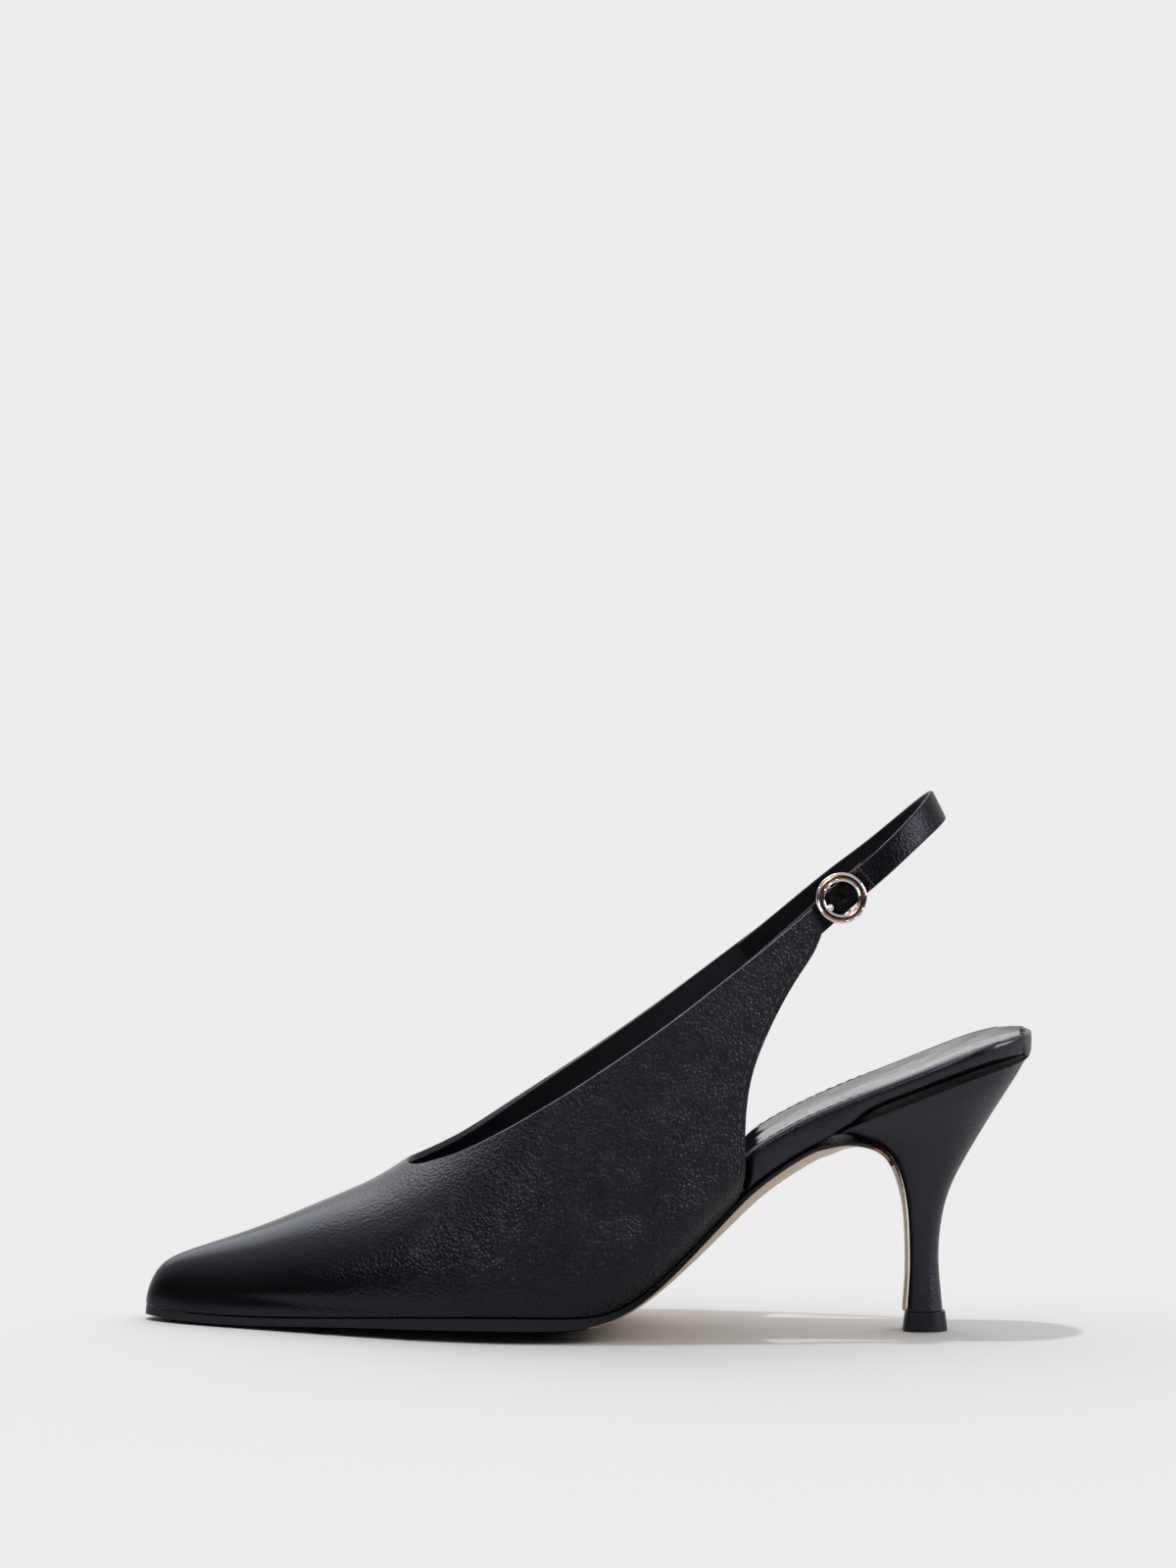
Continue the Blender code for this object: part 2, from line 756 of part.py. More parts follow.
def sock_width(from_toe):
    """Half width of the sock lining, drawn in from the rim."""
    return max(half_width(from_toe) - insole_inset(from_toe) - SOCK_INSET, SOCK_TIP_HALF_WIDTH)


def footbed_drop(from_toe, offset):
    """How far the hollow of the footbed lies below the rim at a distance from the middle."""
    reach = sock_width(from_toe) + CLEARANCE
    across = min(abs(offset) / reach, 1.0)
    return SOCK_THICKNESS + CLEARANCE + dish_depth(from_toe) * (1 - across**CUP_POWER)


def footbed_points(from_toe, width, edge):
    """The insole's top from the medial rim to the lateral one, as offsets and drops."""
    reach = sock_width(from_toe) + CLEARANCE
    step = (width - edge - reach) * FOOTBED_STEP
    if from_toe < SOCK_TIP_AT or from_toe > SOCK_BACK_AT or step < 0:
        return [((width - edge) * share, 0.0) for share in BOARD_SPLITS]
    hollow = [(reach * share, footbed_drop(from_toe, reach * share)) for share in FOOTBED_SPLITS]
    medial = [(width - edge, 0.0), (reach + step, 0.0)]
    lateral = [(-offset, drop) for offset, drop in reversed(medial)]
    return medial + hollow + lateral


def build_insole(finish, collection):
    """The wrapped insole board: thin in the forepart, a rim at the open waist and seat."""
    rings = []
    shares = across_shares(8)
    for from_toe in stations(INSOLE_TIP_AT, INSOLE_BACK_AT):
        outer = half_width(from_toe)
        width = max(outer - insole_inset(from_toe), INSOLE_TIP_HALF_WIDTH)
        middle = centre_line(from_toe)
        thickness = rim_height(from_toe) - feather_height(from_toe) - CLEARANCE
        edge = min(RIM_ROUND, thickness * RIM_ROUND_LIMIT, width * RIM_ROUND_LIMIT)
        ring = []
        for share in shares:
            across = width * share / outer
            ring.append((x_of(from_toe), middle + width * share, bed_height(from_toe, across) + CLEARANCE))
        top = rim_height(from_toe)
        bevel = BEVEL_SHARE * edge
        corner = [(1.0, edge), (1.0 - bevel / width, bevel)]
        for share, drop in corner:
            ring.append((x_of(from_toe), middle + width * share, top - drop))
        for offset, drop in footbed_points(from_toe, width, edge):
            ring.append((x_of(from_toe), middle + offset, top - drop))
        for share, drop in reversed(corner):
            ring.append((x_of(from_toe), middle - width * share, top - drop))
        rings.append(ring)
    return mesh_object("insole", loft(rings), finish, collection)


def build_sock(finish, collection):
    """The thin sock lining on the insole, drawn in from the rim."""
    rings = []
    for from_toe in stations(SOCK_TIP_AT, SOCK_BACK_AT):
        width = sock_width(from_toe)
        ring = []
        for lift, row in ((0.0, FOOTBED_SPLITS), (SOCK_THICKNESS, FOOTBED_SPLITS[::-1])):
            for share in row:
                offset = width * share
                drop = footbed_drop(from_toe, offset) - CLEARANCE - lift
                ring.append((x_of(from_toe), centre_line(from_toe) + offset, rim_height(from_toe) - drop))
        rings.append(ring)
    return mesh_object("sock", loft(rings), finish, collection)


def strap_inset():
    """How far the strap's middle lies inside the quarter's outside."""
    return WALL + 2 * CLEARANCE + STRAP_THICKNESS / 2


def strap_half(side):
    """Points, lift and width of the strap's middle line on one side, from inside the quarter to the back."""
    sign = SIDES_OF_FOOT[side]
    at = QUARTER_CORNER_AT - STRAP_WIDTH / 2 / LENGTH
    height = QUARTER_HEIGHT * TOPLINE_CURVES["height"](at) - STRAP_DROP * STRAP_WIDTH
    spread = abs(side_point(at, height, side)[1]) - strap_inset()
    slope = STRAP_RISE / STRAP_RUN
    points = []
    for step in TAB_STEPS:
        back = STRAP_OVERLAP * step
        place = at - back / LENGTH
        level = height - back * slope
        y = abs(side_point(place, level, side)[1]) - strap_inset()
        points.append((x_of(place), sign * y, level, 0.0, 1.0))
    for row in STRAP_PATH:
        knot = dict(zip(STRAP_COLUMNS, row))
        x = x_of(at) + STRAP_RUN * knot["run"]
        y = sign * spread * knot["half_width"]
        points.append((x, y, height + STRAP_RISE * knot["rise"], knot["lift"], knot["width"]))
    return points


def strap_line():
    """The strap's whole middle line, medial quarter to lateral quarter: its curves and its length."""
    knots = strap_half("medial") + strap_half("lateral")[-2::-1]
    points = np.array([knot[:3] for knot in knots])
    steps = np.linalg.norm(np.diff(points, axis=0), axis=1)
    along = np.concatenate([[0.0], np.cumsum(steps)])
    curves = [spline(along, values) for values in zip(*knots)]
    return curves, along[-1]


def strap_frame(curves, length):
    """Point, run direction and outward face of the strap's middle line at a length along it."""
    reach = 0.0005
    point = Vector([curves[axis](length) for axis in range(3)])
    ahead = Vector([curves[axis](length + reach) for axis in range(3)])
    behind = Vector([curves[axis](length - reach) for axis in range(3)])
    run = (ahead - behind).normalized()
    face = Vector((-run.y, run.x, 0.0)).normalized()
    if face.dot(Vector((point.x - x_of(0.6), point.y, 0.0))) < 0:
        face = -face
    face = (face + Vector((0.0, 0.0, curves[3](length)))).normalized()
    face = (face - run * face.dot(run)).normalized()
    return point, run, face


def ribbon(frames, widths):
    """A strap of the named thickness through the frames, with its edges broken."""
    rings = []
    half = STRAP_THICKNESS / 2
    for (point, run, face), width in zip(frames, widths):
        across = run.cross(face).normalized()
        side = width / 2
        outline = [
            (side, half - STRAP_EDGE),
            (side - STRAP_EDGE, half),
            (-side + STRAP_EDGE, half),
            (-side, half - STRAP_EDGE),
            (-side, -half + STRAP_EDGE),
            (-side + STRAP_EDGE, -half),
            (side - STRAP_EDGE, -half),
            (side, -half + STRAP_EDGE),
        ]
        rings.append([point + across * a + face * b for a, b in outline])
    return loft(rings)


def buckle_place():
    """Where the buckle's middle lies along the strap's line, and its frame, run pointing to the back."""
    curves, total = strap_line()
    corner = STRAP_OVERLAP * math.hypot(1.0, STRAP_RISE / STRAP_RUN)
    length = total - corner - BUCKLE_AT
    point, run, face = strap_frame(curves, length)
    return length, point, -run, face


def build_slingback(finish, collection):
    """The long strap, from inside the medial quarter round the back and folded round the buckle's bar."""
    curves, total = strap_line()
    stop, origin, run, face = buckle_place()
    layer = STRAP_THICKNESS + CLEARANCE
    turn = (BAR_DIAMETER + STRAP_THICKNESS) / 2 + CLEARANCE
    count = round((stop - STRAP_CLEAR) / STRAP_STEP)
    lengths = [(stop - STRAP_CLEAR) * i / count for i in range(count + 1)]
    path = [strap_frame(curves, length) for length in lengths]
    widths = [STRAP_WIDTH * curves[4](length) for length in lengths]
    path.append((origin + run * STRAP_CLEAR / 3, -run, face))
    for i in range(FOLD_TURNS + 1):
        angle = math.pi * i / FOLD_TURNS
        outward = face * math.cos(angle) - run * math.sin(angle)
        point = origin - face * turn + outward * turn
        path.append((point, -run * math.cos(angle) - face * math.sin(angle), outward))
    for back in (FOLD_EASE * 0.4, FOLD_EASE * 0.8, FOLD_LENGTH):
        depth = layer + (2 * turn - layer) * (1 - smoothstep(0.0, FOLD_EASE, back))
        path.append((origin + run * back - face * depth, run, -face))
    widths += [widths[-1]] * (len(path) - len(widths))
    return mesh_object("slingback_strap", ribbon(path, widths), finish, collection)


def build_front_strap(finish, collection, cutters):
    """The short strap of the lateral quarter: under the ring, over the bar, its holes on the hook."""
    curves, total = strap_line()
    stop, origin, run, face = buckle_place()
    layer = STRAP_THICKNESS + CLEARANCE
    ring = BUCKLE_DIAMETER / 2
    path = []
    low = stop + ring
    count = 5
    for i in range(count + 1):
        point, along, outward = strap_frame(curves, total + (low - total) * i / count)
        path.append((point, -along, outward))
    steps = 14
    begin = ring * DIP_FROM
    for i in range(steps + 1):
        back = begin + (TAB_BEYOND - begin) * i / steps
        rise = layer * smoothstep(begin, ring * DIP_TO, back)
        ahead = layer * smoothstep(begin, ring * DIP_TO, back + TINY)
        slope = (ahead - rise) / TINY
        along = (run + face * slope).normalized()
        path.append((origin + run * back + face * rise, along, (face - run * slope).normalized()))
    widths = [STRAP_WIDTH] * (len(path) - len(TAB_END)) + [STRAP_WIDTH * share for share in TAB_END]
    strap = mesh_object("front_strap", ribbon(path, widths), finish, collection)
    for number in range(2):
        middle = origin + run * (hook_back() + HOLE_PITCH * number) + face * layer
        cutter = pin(
            f"hole_cutter_{number}",
            middle - face * 2 * STRAP_THICKNESS,
            middle + face * 2 * STRAP_THICKNESS,
            HOLE_DIAMETER,
            finish,
            cutters,
        )
        hole = strap.modifiers.new(f"hole_{number}", "BOOLEAN")
        hole.operation = "DIFFERENCE"
        hole.object = cutter
    return strap


def hook_back():
    """Where the buckle's hook goes down through the front strap, along the run from the ring's middle."""
    return -(BUCKLE_DIAMETER / 2 - BUCKLE_WIRE) + HOOK_DIAMETER * HOOK_SEAT


def pin(name, start, end, diameter, finish, collection):
    """A round pin between two points."""
    bpy.ops.mesh.primitive_cylinder_add(vertices=PIN_SIDES, radius=diameter / 2, depth=(end - start).length)
    made = bpy.context.active_object
    made.name = name
    made.data.name = name
    made.location = (start + end) / 2
    made.rotation_mode = "QUATERNION"
    made.rotation_quaternion = (end - start).to_track_quat("Z", "Y")
    made.data.shade_smooth()
    made.data.materials.append(finish)
    for holder in made.users_collection:
        holder.objects.unlink(made)
    collection.objects.link(made)
    return made


def hide_cutter(made):
    made.hide_render = True
    made.display_type = "WIRE"


def build_buckle(finish, collection, cutters):
    """The round ring with the bar behind it that holds the long strap, and the hook in front."""
    stop, origin, run, face = buckle_place()
    across = run.cross(face).normalized()
    ring_height = STRAP_THICKNESS / 2 + WALL + 3 * CLEARANCE + BUCKLE_WIRE_HEIGHT / 2
    radius = (BUCKLE_DIAMETER - BUCKLE_WIRE) / 2
    bpy.ops.mesh.primitive_torus_add(
        major_radius=radius, minor_radius=BUCKLE_WIRE / 2, major_segments=36, minor_segments=8
    )
    ring = bpy.context.active_object
    ring.name = "buckle"
    ring.data.name = "buckle"
    ring.scale = (1.0, 1.0, BUCKLE_WIRE_HEIGHT / BUCKLE_WIRE)
    ring.location = origin + face * ring_height
    ring.rotation_mode = "QUATERNION"
    ring.rotation_quaternion = face.to_track_quat("Z", "Y")
    ring.data.shade_smooth()
    ring.data.materials.append(finish)
    for holder in ring.users_collection:
        holder.objects.unlink(ring)
    collection.objects.link(ring)

    depth = (BAR_DIAMETER + STRAP_THICKNESS) / 2 + CLEARANCE
    top = origin + face * ring_height
    bottom = origin - face * depth
    overlap = BAR_DIAMETER * PIN_SINK
    pieces = []
    for side in (-1, 1):
        foot = bottom + across * radius * side - face * overlap
        pieces.append((f"post_{side}", top + across * radius * side, foot, POST_DIAMETER))
    pieces.append(("bar", bottom - across * radius, bottom + across * radius, BAR_DIAMETER))
    hook = top + run * hook_back()
    pieces.append(("hook", top - run * radius, hook + run * HOOK_DIAMETER * PIN_SINK, HOOK_DIAMETER))
    pieces.append(("hook_tip", hook + face * HOOK_DIAMETER * 0.4, hook - face * HOOK_REACH, HOOK_DIAMETER * 0.9))
    for name, start, end, diameter in pieces:
        made = pin(name, start, end, diameter, finish, cutters)
        join = ring.modifiers.new(name, "BOOLEAN")
        join.operation = "UNION"
        join.object = made
    return ring


def main():
    for made in list(bpy.data.objects):
        bpy.data.objects.remove(made)
    scene = bpy.context.scene
    shoe = bpy.data.collections.new("slingback_pump")
    cutters = bpy.data.collections.new("cutters")
    scene.collection.children.link(shoe)
    scene.collection.children.link(cutters)

    nappa = material("black_nappa", (0.012, 0.012, 0.014), 0.42)
    heel_cover = material("heel_cover", (0.012, 0.012, 0.014), 0.38)
    glossy = material("sock_leather", (0.014, 0.014, 0.017), 0.18)
    rubber = material("top_lift_rubber", (0.01, 0.01, 0.01), 0.5)
    leather_sole = material("sole_leather", (0.62, 0.48, 0.34), 0.5)
    silver = material("polished_metal", (0.82, 0.8, 0.78), 0.12, 1.0)

    build_outsole(leather_sole, shoe)
    build_heel(heel_cover, shoe)
    build_top_lift(rubber, shoe)
    build_insole(nappa, shoe)
    build_sock(glossy, shoe)
    build_upper(nappa, shoe)
    build_slingback(nappa, shoe)
    build_front_strap(nappa, shoe, cutters)
    build_buckle(silver, shoe, cutters)
    for made in cutters.objects:
        hide_cutter(made)


main()
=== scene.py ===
"""Looks of the slingback pump: leathers, lining, sole, metal, stitches, studio light and camera."""

import math

import bmesh
import bpy
import numpy as np
from mathutils import Matrix, Quaternion, Vector
from mathutils.bvhtree import BVHTree


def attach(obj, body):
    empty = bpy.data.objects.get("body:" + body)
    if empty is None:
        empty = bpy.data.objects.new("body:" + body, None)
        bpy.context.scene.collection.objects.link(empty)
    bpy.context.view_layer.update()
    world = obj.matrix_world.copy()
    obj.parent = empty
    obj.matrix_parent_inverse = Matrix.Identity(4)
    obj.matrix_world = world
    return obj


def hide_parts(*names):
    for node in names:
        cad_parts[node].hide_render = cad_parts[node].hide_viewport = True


MM = 0.001
DOWN = Vector((0.0, 0.0, -1.0))

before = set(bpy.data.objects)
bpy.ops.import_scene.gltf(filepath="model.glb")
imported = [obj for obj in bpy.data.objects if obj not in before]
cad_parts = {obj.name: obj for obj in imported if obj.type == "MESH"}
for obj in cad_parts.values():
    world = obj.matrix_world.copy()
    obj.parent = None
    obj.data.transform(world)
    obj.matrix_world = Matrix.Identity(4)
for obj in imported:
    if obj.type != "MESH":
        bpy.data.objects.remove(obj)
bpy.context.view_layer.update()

# The buckle's middle on the strap's line, the way of the strap to the back, and its outward face
BUCKLE_ORIGIN = Vector((0.06802, -0.02160, 0.12266))
BUCKLE_RUN = Vector((0.73919, 0.17586, 0.65013))
BUCKLE_FACE = Vector((0.08295, -0.98173, 0.17124))
RING_RADIUS = 5.8 * MM
RING_RISE = 4.25 * MM
RING_BAND = 2.4 * MM
RING_BAND_REACH = 0.52
RING_BAND_RISE = 0.40
RING_BEAD_RISE = 0.45 * MM
RING_BEAD_INSET = 0.85 * MM
RING_BEAD_WIRE = 0.36 * MM

# Skins over the CAD nodes
EDGE_ROUND = 0.35 * MM
BUCKLE_ROUND = 0.10 * MM
MERGE = 0.01 * MM
SHARP_ANGLE = math.radians(38)
FLAT_ANGLE = math.radians(35)
QUAD_ANGLE = math.radians(70)
SUBDIVISIONS = 2

# The rear end of the insole's rim is rounded off from this X and this height on
SEAT_END = (0.112, 0.0790)
SOFT_PASSES = 30

# Soft creases of the upper: side, start X and Z, end X and Z, half width, depth
TROUGHS = [
    (-1, -0.104, 0.0085, -0.004, 0.0078, 0.0016, 0.00030),
    (-1, -0.048, 0.0260, -0.026, 0.0120, 0.0030, 0.00012),
    (-1, -0.036, 0.0330, -0.012, 0.0150, 0.0034, 0.00014),
    (-1, -0.020, 0.0360, 0.004, 0.0190, 0.0036, 0.00012),
    (-1, 0.012, 0.0300, 0.036, 0.0560, 0.0040, 0.00026),
    (1, 0.002, 0.0780, 0.024, 0.0940, 0.0026, 0.00060),
    (1, 0.018, 0.0960, 0.040, 0.1060, 0.0026, 0.00050),
    (1, -0.030, 0.0300, -0.010, 0.0140, 0.0034, 0.00030),
]
TROUGH_REACH = 3

# The upper's lining ends in the toe; outward is away from a line along the foot
LINING_FRONT = -0.105
FOOT_MIDDLE = 2.0 * MM
OUTWARD_RISE = 4.0 * MM
OUTWARD_LEAN = 0.25

# Where the sole's colours change along X, and how steep a face is for each, from 0 flat to 1 upright
TOE_TURN_END = -0.010
BLACK_RIM_END = 0.0
BREAST_START = 0.067
FLAP_START = 0.076
FLAP_TOP = 0.047
RIM_STEEP = 0.12
FLAP_EDGE_STEEP = 0.30
BREAST_STEEP = 0.50
LINE_STEEP = 0.66
EDGE_STEEP = 0.80

# How far a face's normal points to the toe on the flap's edge, down on the breast, and up on the edge
FLAP_FORWARD = -0.50
BREAST_DOWN = -0.35
EDGE_UP = 0.45

# Rays that look for the leather start outside the shoe
SIDE_PROBE = 0.060
TOP_PROBE = 0.130
RIM_PROBE = 0.050
FOLD_PROBE = 0.020

# Stitches
STITCH_WIDTH = 0.50 * MM
STITCH_HEIGHT = 0.42 * MM
STITCH_PITCH = 3.0 * MM
# The dark matte ovals under the stitches are painted shade of their pits
PIT_EXTRA = 0.70 * MM
PIT_WIDTH = 0.85 * MM
PIT_HEIGHT = 0.12 * MM
QUARTER_STITCH = 1.9 * MM
QUARTER_INSET = 1.7 * MM
QUARTER_LEVELS = np.linspace(0.044, 0.114, 36)
QUARTER_REAR = 0.075
QUARTER_FRONT = 0.030
QUARTER_STEP = 0.0002
RIM_STITCH = 2.1 * MM
RIM_INSET = 2.0 * MM
RIM_START = 0.046
SEAT_MIDDLE = 0.100
SEAT_REACH = 0.019
REACH_STEP = 0.002
RIM_BELOW = 3.0 * MM
RIM_GROOVE = 0.18 * MM
LARGEST_SKIP = 0.010
FOLD_STITCH = 0.8 * MM
FOLD_PITCH = 1.0 * MM
FOLD_ROWS = (8.2 * MM, 9.4 * MM)

# The thin light-grey beads on the cut edges, a painted highlight of the folded edge: where they run along
# X, the lowest Z of the search, their radius, and how deep they sit
TOPLINE_RUN = np.linspace(-0.044, 0.0555, 130)
TOPLINE_FLOOR = 0.030
TOPLINE_RADIUS = 0.16 * MM
STRAP_EDGE_RUN = np.linspace(0.079, 0.0945, 40)
STRAP_EDGE_FLOOR = 0.100
STRAP_EDGE_RADIUS = 0.13 * MM
EDGE_SINK = 0.05 * MM
ABOVE_ALL = 0.155
TOP_STEP = 0.0001

# The studio: dark on the camera's side, bright above and behind
ROOM_DARK = (0.02, 0.02, 0.02)
ROOM_BRIGHT = (1.0, 1.0, 1.0)
ROOM_LIGHT = 0.975
ROOM_LEAN = 0.75
ROOM_EDGE = (0.10, 0.72)
SUN_POWER = 0.72
SUN_ANGLE = math.radians(2.0)
SUN_COURSE = Vector((0.18, 0.0, -1.0))

# Soft boxes that only show in gloss: name, place, target, width, height, watts, colour
PANELS = [
    ("over_toe", (-0.65, 0.85, 1.25), (-0.06, 0.0, 0.04), 1.2, 0.9, 9.0, (0.90, 0.95, 1.0)),
    ("glints_front", (-0.85, -1.15, 0.95), (0.02, 0.0, 0.06), 0.07, 0.07, 3.0, (1.0, 1.0, 1.0)),
    ("glints_side", (-0.10, -1.30, 0.95), (0.04, 0.0, 0.08), 0.07, 0.07, 5.0, (1.0, 1.0, 1.0)),
    ("heel_sheen", (1.3, -0.5, 0.7), (0.10, 0.0, 0.05), 0.5, 0.5, 18.0, (0.93, 0.96, 1.0)),
]

FLOOR_REACH = 40.0
FLOOR_WHITE = (0.9, 0.9, 0.9, 1.0)

# The camera looks at a point on the frame's middle line from far off
CAMERA_TARGET = Vector((-0.0017, 0.0, 0.1508))
CAMERA_DISTANCE = 10.0
CAMERA_TILT = math.radians(7.5)
CAMERA_ROLL = math.radians(0.7)
CAMERA_LENS = 833.333
CAMERA_SENSOR = 36.0
CAMERA_CLIP = 200.0

# Most values of a noise lie between these
NOISE_LOW = 0.3
NOISE_HIGH = 0.7

# The gloss of black leather, slightly blue
GLOSS_TINT = (0.66, 0.65, 0.80, 1.0)
SOCK_TINT = (0.72, 0.77, 0.86, 1.0)


def add_object(name, data):
    """An object in the scene with the given mesh, curve, lamp or camera."""
    made = bpy.data.objects.new(name, data)
    bpy.context.scene.collection.objects.link(made)
    return made


def new_material(name):
    """A material with its node tree and its Principled shader."""
    made = bpy.data.materials.new(name)
    made.use_nodes = True
    return made, made.node_tree, made.node_tree.nodes["Principled BSDF"]


def node(tree, kind, **values):
    """A shader node with its properties and, by name, its sockets' values set."""
    made = tree.nodes.new(kind)
    for key, value in values.items():
        if hasattr(made, key):
            setattr(made, key, value)
        else:
            made.inputs[key.replace("_", " ")].default_value = value
    return made


def noise(tree, place, scale, detail=3.0, roughness=0.5):
    """A noise from 0 to 1."""
    made = node(tree, "ShaderNodeTexNoise", Scale=scale, Detail=detail, Roughness=roughness)
    tree.links.new(place, made.inputs["Vector"])
    return made.outputs["Fac"]


def spread(tree, value, low, high, to_low, to_high):
    """Maps a value from one range to another, clamped."""
    made = node(tree, "ShaderNodeMapRange", From_Min=low, From_Max=high, To_Min=to_low, To_Max=to_high)
    tree.links.new(value, made.inputs["Value"])
    return made.outputs["Result"]


def calculate(tree, operation, first, second):
    """One sum of two values, each a socket or a number."""
    made = node(tree, "ShaderNodeMath", operation=operation)
    for number, value in enumerate((first, second)):
        if isinstance(value, (int, float)):
            made.inputs[number].default_value = value
        else:
            tree.links.new(value, made.inputs[number])
    return made.outputs[0]


def colour_mix(tree, share, first, second):
    """A colour between two; the node's colour sockets go by number, since its names repeat."""
    made = node(tree, "ShaderNodeMix", data_type="RGBA")
    made.inputs[6].default_value = (*first, 1.0)
    made.inputs[7].default_value = (*second, 1.0)
    tree.links.new(share, made.inputs[0])
    return made.outputs[2]


def uneven_tone(tree, share, base, darker, lighter):
    """The base colour, varied by a noise between two factors."""
    first = [value * darker for value in base]
    second = [min(value * lighter, 1.0) for value in base]
    return colour_mix(tree, spread(tree, share, NOISE_LOW, NOISE_HIGH, 0.0, 1.0), first, second)


def add_bump(tree, shader, height, depth):
    """Gives the shader a bump of the given depth in metres. Returns the bump's node."""
    bump = node(tree, "ShaderNodeBump", Distance=depth)
    tree.links.new(height, bump.inputs["Height"])
    tree.links.new(bump.outputs[0], shader.inputs["Normal"])
    return bump


def pebbles(tree, place, size):
    """The height of a leather's pebbled grain: domes of the given size with creases between them."""
    shift = node(tree, "ShaderNodeTexNoise", Scale=0.35 / size, Detail=2.0)
    tree.links.new(place, shift.inputs["Vector"])
    scaled = node(tree, "ShaderNodeVectorMath", operation="SCALE", Scale=1.1 * size)
    tree.links.new(shift.outputs["Color"], scaled.inputs[0])
    moved = node(tree, "ShaderNodeVectorMath", operation="ADD")
    tree.links.new(place, moved.inputs[0])
    tree.links.new(scaled.outputs[0], moved.inputs[1])
    cells = node(tree, "ShaderNodeTexVoronoi", feature="SMOOTH_F1", Scale=1 / size, Smoothness=0.35)
    tree.links.new(moved.outputs[0], cells.inputs["Vector"])
    return spread(tree, cells.outputs["Distance"], 0.0, 0.75, 1.0, 0.0)


def leather(name, base, rough, size, depth, smooth_to=None, gloss=0.42):
    """A leather whose pebbled grain has the given size and depth.

    smooth_to is two places along X: the grain grows from the first, where it is faint, to the second.
    """
    made, tree, shader = new_material(name)
    place = node(tree, "ShaderNodeTexCoord").outputs["Object"]
    grain = pebbles(tree, place, size)
    fine = noise(tree, place, 2.6 / size, 4.0, 0.6)
    wrinkle = noise(tree, place, 0.09 / size, 3.0, 0.55)
    height = calculate(tree, "ADD", grain, calculate(tree, "MULTIPLY", fine, 0.35))
    bump = add_bump(tree, shader, height, depth)
    if smooth_to is None:
        patch = spread(tree, wrinkle, NOISE_LOW, NOISE_HIGH, 0.7, 1.0)
    else:
        axes = node(tree, "ShaderNodeSeparateXYZ")
        tree.links.new(place, axes.inputs[0])
        fade = spread(tree, axes.outputs["X"], *smooth_to, 0.06, 1.0)
        patch = calculate(tree, "MULTIPLY", fade, spread(tree, wrinkle, NOISE_LOW, NOISE_HIGH, 0.65, 1.1))
    tree.links.new(patch, bump.inputs["Strength"])
    tree.links.new(uneven_tone(tree, wrinkle, base, 0.75, 1.3), shader.inputs["Base Color"])
    crease = spread(tree, grain, 0.2, 0.8, 0.14, -0.05)
    uneven = calculate(tree, "MULTIPLY", crease, patch)
    tree.links.new(calculate(tree, "ADD", uneven, rough), shader.inputs["Roughness"])
    shader.inputs["Specular IOR Level"].default_value = gloss
    shader.inputs["Specular Tint"].default_value = GLOSS_TINT
    return made


def plain_surface(name, base, rough, size, depth, contrast=0.25, metallic=0.0, tint=(1.0, 1.0, 1.0, 1.0)):
    """A finish with fine uneven colour, roughness and bump."""
    made, tree, shader = new_material(name)
    place = node(tree, "ShaderNodeTexCoord").outputs["Object"]
    broad = noise(tree, place, 0.12 / size)
    fine = noise(tree, place, 1 / size, 5.0, 0.65)
    tree.links.new(uneven_tone(tree, broad, base, 1 - contrast, 1 + contrast), shader.inputs["Base Color"])
    uneven = spread(tree, broad, NOISE_LOW, NOISE_HIGH, rough * 0.8, rough * 1.2)
    tree.links.new(uneven, shader.inputs["Roughness"])
    add_bump(tree, shader, fine, depth)
    shader.inputs["Metallic"].default_value = metallic
    shader.inputs["Specular Tint"].default_value = tint
    return made


def glossy_leather(name, base, rough, depth):
    """A glossy lining leather with broad, shallow waves."""
    made, tree, shader = new_material(name)
    place = node(tree, "ShaderNodeTexCoord").outputs["Object"]
    waves = noise(tree, place, 110.0, 1.0, 0.4)
    fine = noise(tree, place, 1400.0, 3.0, 0.5)
    add_bump(tree, shader, calculate(tree, "ADD", waves, calculate(tree, "MULTIPLY", fine, 0.012)), depth)
    tree.links.new(spread(tree, waves, 0.35, 0.65, rough * 0.8, rough * 1.3), shader.inputs["Roughness"])
    shader.inputs["Base Color"].default_value = (*base, 1.0)
    shader.inputs["Specular Tint"].default_value = SOCK_TINT
    return made


# Each material: its name, colour, roughness, grain size and bump depth
BLACK = (0.0014, 0.0014, 0.0020)
NAPPA = leather("nappa", BLACK, 0.25, 0.90 * MM, 0.34 * MM, smooth_to=(-0.085, 0.015))
STRAP_NAPPA = leather("strap_nappa", BLACK, 0.28, 0.8 * MM, 0.10 * MM, gloss=0.20)
RAND_LEATHER = leather("rand_leather", BLACK, 0.24, 0.6 * MM, 0.02 * MM, gloss=0.62)
HEEL_LEATHER = leather("heel_leather", BLACK, 0.36, 0.7 * MM, 0.12 * MM, gloss=0.66)
LINING = leather("lining", (0.006, 0.006, 0.007), 0.5, 0.5 * MM, 0.03 * MM)
SOCK_LEATHER = glossy_leather("sock_gloss", (0.008, 0.008, 0.010), rough=0.12, depth=0.55 * MM)
# Light blue-grey for the thin beads on the cut edges: a painted highlight of the folded edge
EDGE_HIGHLIGHT = plain_surface("cut_edge_painted_highlight", (0.22, 0.24, 0.27), 0.30, 0.3 * MM, 0.01 * MM)
SOLE_EDGE = plain_surface("sole_edge", (0.003, 0.003, 0.004), 0.28, 0.4 * MM, 0.012 * MM, tint=GLOSS_TINT)
SOLE_LINE = plain_surface("sole_line", (0.36, 0.16, 0.07), 0.45, 0.3 * MM, 0.01 * MM)
SOLE_LEATHER = plain_surface("sole_leather", (0.60, 0.47, 0.35), 0.48, 0.35 * MM, 0.02 * MM, contrast=0.10)
